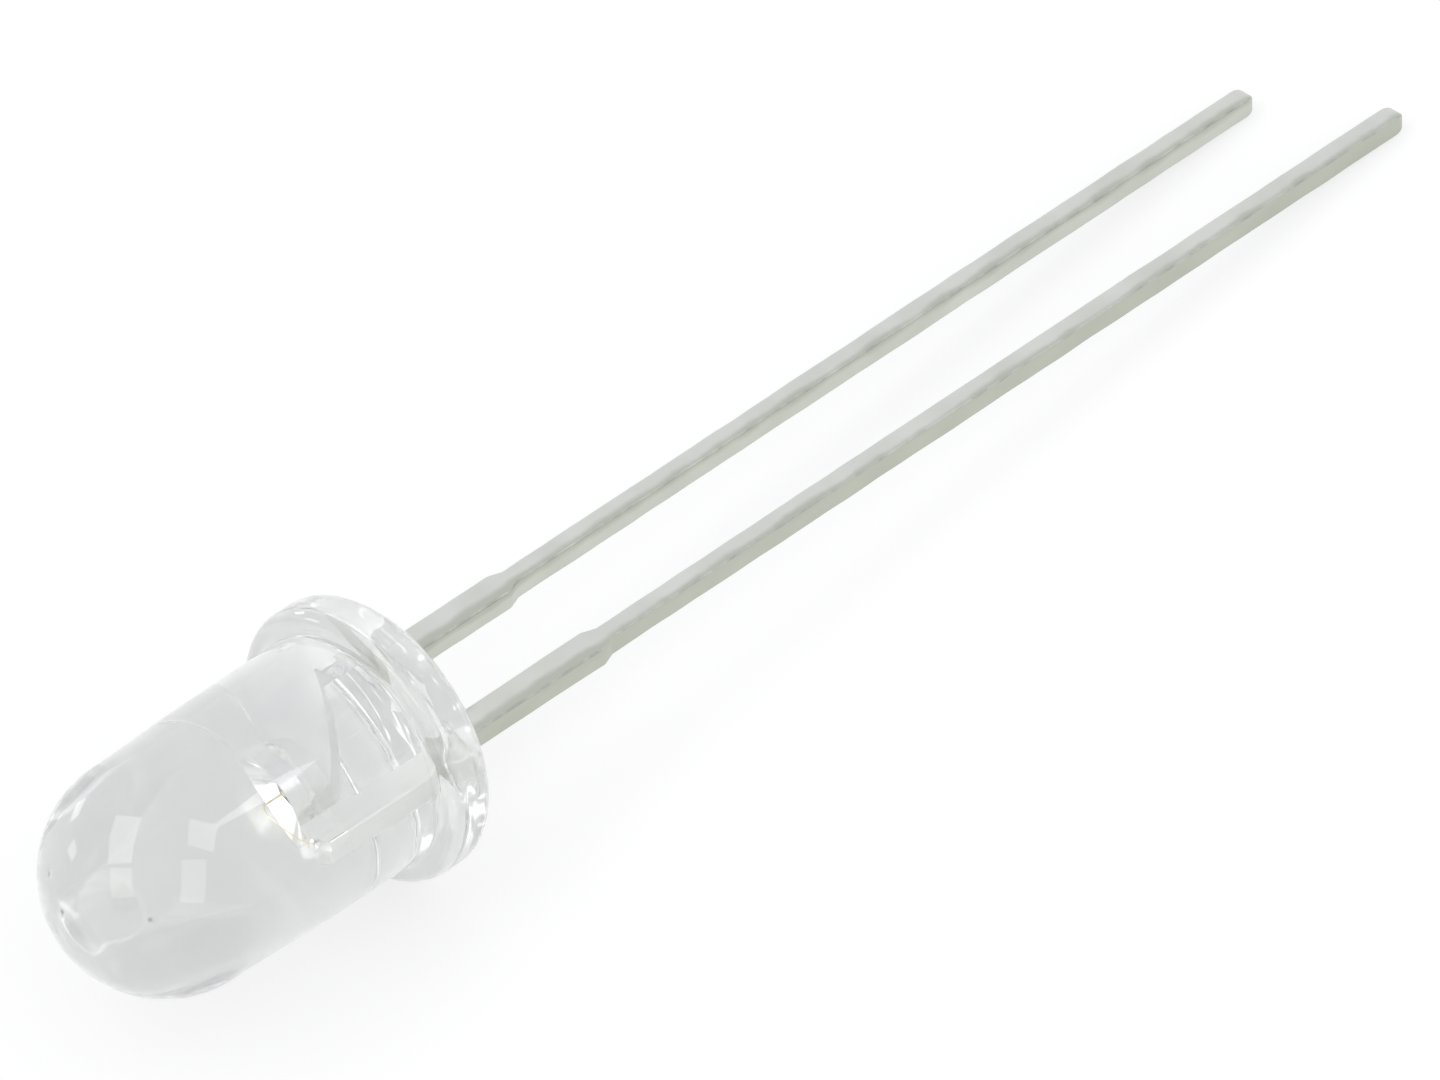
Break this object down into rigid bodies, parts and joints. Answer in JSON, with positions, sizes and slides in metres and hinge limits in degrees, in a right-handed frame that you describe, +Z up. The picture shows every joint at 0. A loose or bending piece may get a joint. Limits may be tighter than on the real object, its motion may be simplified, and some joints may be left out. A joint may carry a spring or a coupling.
{
  "type": "through hole led",
  "caption": "Clear round light-emitting diode: a domed resin lens on a round flange, and two long square leads of unequal length for a circuit board.",
  "frame": {"origin": "middle of the flange's back face, on the lens axis, where a circuit board would meet it", "axes": "+Z up with the part lying at rest; the dome points along -Y and the leads run along +Y, both sloping a few degrees down to the lead tips; the short cathode lead is on the -X side"},
  "size_m": [0.006, 0.0354, 0.006],
  "materials": {
    "clear_resin": "gloss",
    "tinned_steel": "satin",
    "chip": "satin",
    "silver_cement": "matte",
    "gold": "polished"
  },
  "bodies": {
    "root": {"lens_body": "clear_resin", "cathode_lead": "tinned_steel", "anode_lead": "tinned_steel", "led_chip": "chip", "chip_cement": "silver_cement", "bond_wire": "gold"}
  },
  "joints": []
}
